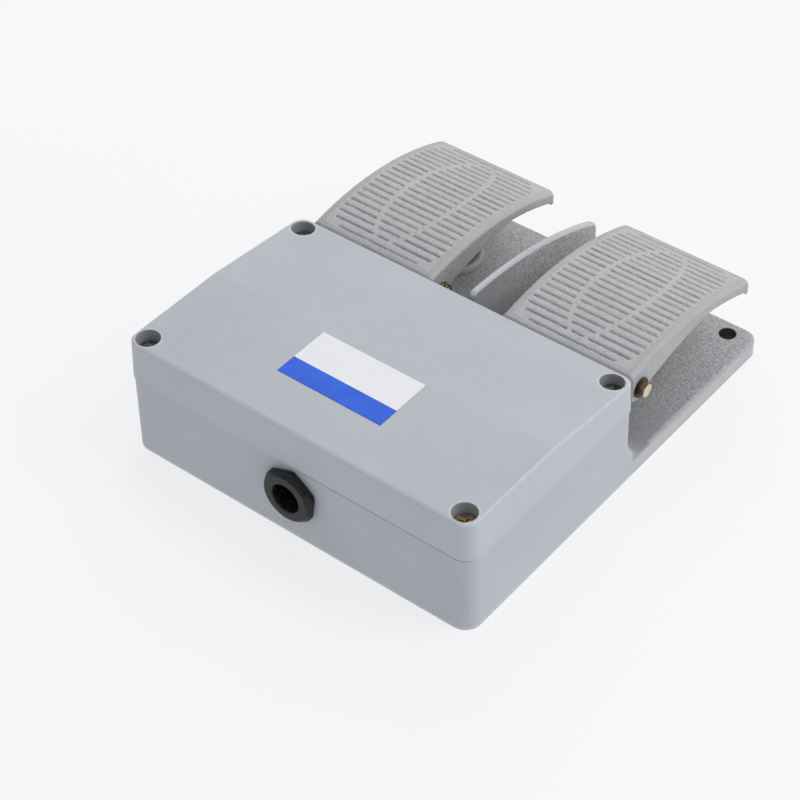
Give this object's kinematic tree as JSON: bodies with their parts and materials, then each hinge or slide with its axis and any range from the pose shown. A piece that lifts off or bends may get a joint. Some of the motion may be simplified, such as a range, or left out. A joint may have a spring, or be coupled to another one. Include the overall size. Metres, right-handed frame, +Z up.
{
  "type": "industrial foot switch",
  "caption": "Cast foot switch: a lidded box with a cable gland, a base plate with a divider fin, and arched ribbed pedals on sprung hinges that push rods onto snap switches.",
  "frame": {"origin": "middle of the underside, under the centre of the overall box", "axes": "+Z up, +Y toward the cable-entry face, -Y toward the pedals' free ends where the operator stands, X across; right is +X"},
  "size_m": [0.1358, 0.164, 0.0442],
  "materials": {
    "cast_paint": "cast aluminium with semi-matt grey paint, hammered texture on plate and fin",
    "seal_rubber": "black rubber",
    "yellow_zinc": "steel with yellow zinc plating",
    "label_film": "blank printed film, white with a plain blue band",
    "dark_steel": "dark oiled steel",
    "spring_steel": "drawn spring wire",
    "bright_steel": "bright zinc-plated steel",
    "brass": "turned brass",
    "black_phenolic": "moulded black phenolic",
    "red_plastic": "moulded red button",
    "black_nylon": "moulded black nylon"
  },
  "bodies": {
    "housing": {"base_housing": "cast_paint", "lid": "cast_paint", "lid_gasket": "seal_rubber", "lid_screws": "yellow_zinc", "label": "label_film", "left_hinge_bolt": "yellow_zinc", "right_hinge_bolt": "yellow_zinc", "left_hinge_nut": "yellow_zinc", "right_hinge_nut": "yellow_zinc", "hinge_washers": "dark_steel", "left_return_spring": "spring_steel", "right_return_spring": "spring_steel", "left_switch_case": "black_phenolic", "right_switch_case": "black_phenolic", "switch_terminals": "brass", "gland_body": "black_nylon", "gland_lock_nut": "black_nylon", "earth_screw": "brass"},
    "left_pedal": {"left_pedal": "cast_paint"},
    "left_actuator": {"left_push_rod": "bright_steel"},
    "left_button": {"left_switch_button": "red_plastic"},
    "right_pedal": {"right_pedal": "cast_paint"},
    "right_actuator": {"right_push_rod": "bright_steel"},
    "right_button": {"right_switch_button": "red_plastic"}
  },
  "joints": [
    {"name": "left_pedal_hinge", "type": "hinge", "parent": "housing", "child": "left_pedal", "pos_m": [-0.03915, -0.01354, 0.0305], "axis": [1, 0, 0], "range_deg": [0, 12], "stiffness_Nm_per_rad": 4, "springref_deg": -11.46, "deforming": ["left_return_spring"]},
    {"name": "left_rod_slide", "type": "slide", "parent": "housing", "child": "left_actuator", "axis": [0, 1, 0], "range_m": [0, 0.0027]},
    {"name": "left_button_slide", "type": "slide", "parent": "housing", "child": "left_button", "axis": [0, 1, 0], "range_m": [0, 0.0027]},
    {"name": "right_pedal_hinge", "type": "hinge", "parent": "housing", "child": "right_pedal", "pos_m": [0.03915, -0.01354, 0.0305], "axis": [1, 0, 0], "range_deg": [0, 12], "stiffness_Nm_per_rad": 4, "springref_deg": -11.46, "deforming": ["right_return_spring"]},
    {"name": "right_rod_slide", "type": "slide", "parent": "housing", "child": "right_actuator", "axis": [0, 1, 0], "range_m": [0, 0.0027]},
    {"name": "right_button_slide", "type": "slide", "parent": "housing", "child": "right_button", "axis": [0, 1, 0], "range_m": [0, 0.0027]}
  ],
  "couplings": [
    {"joint": "left_rod_slide", "follows": "left_pedal_hinge", "m_per_rad": 0.0122},
    {"joint": "left_button_slide", "follows": "left_pedal_hinge", "m_per_rad": 0.0122},
    {"joint": "right_rod_slide", "follows": "right_pedal_hinge", "m_per_rad": 0.0122},
    {"joint": "right_button_slide", "follows": "right_pedal_hinge", "m_per_rad": 0.0122}
  ]
}
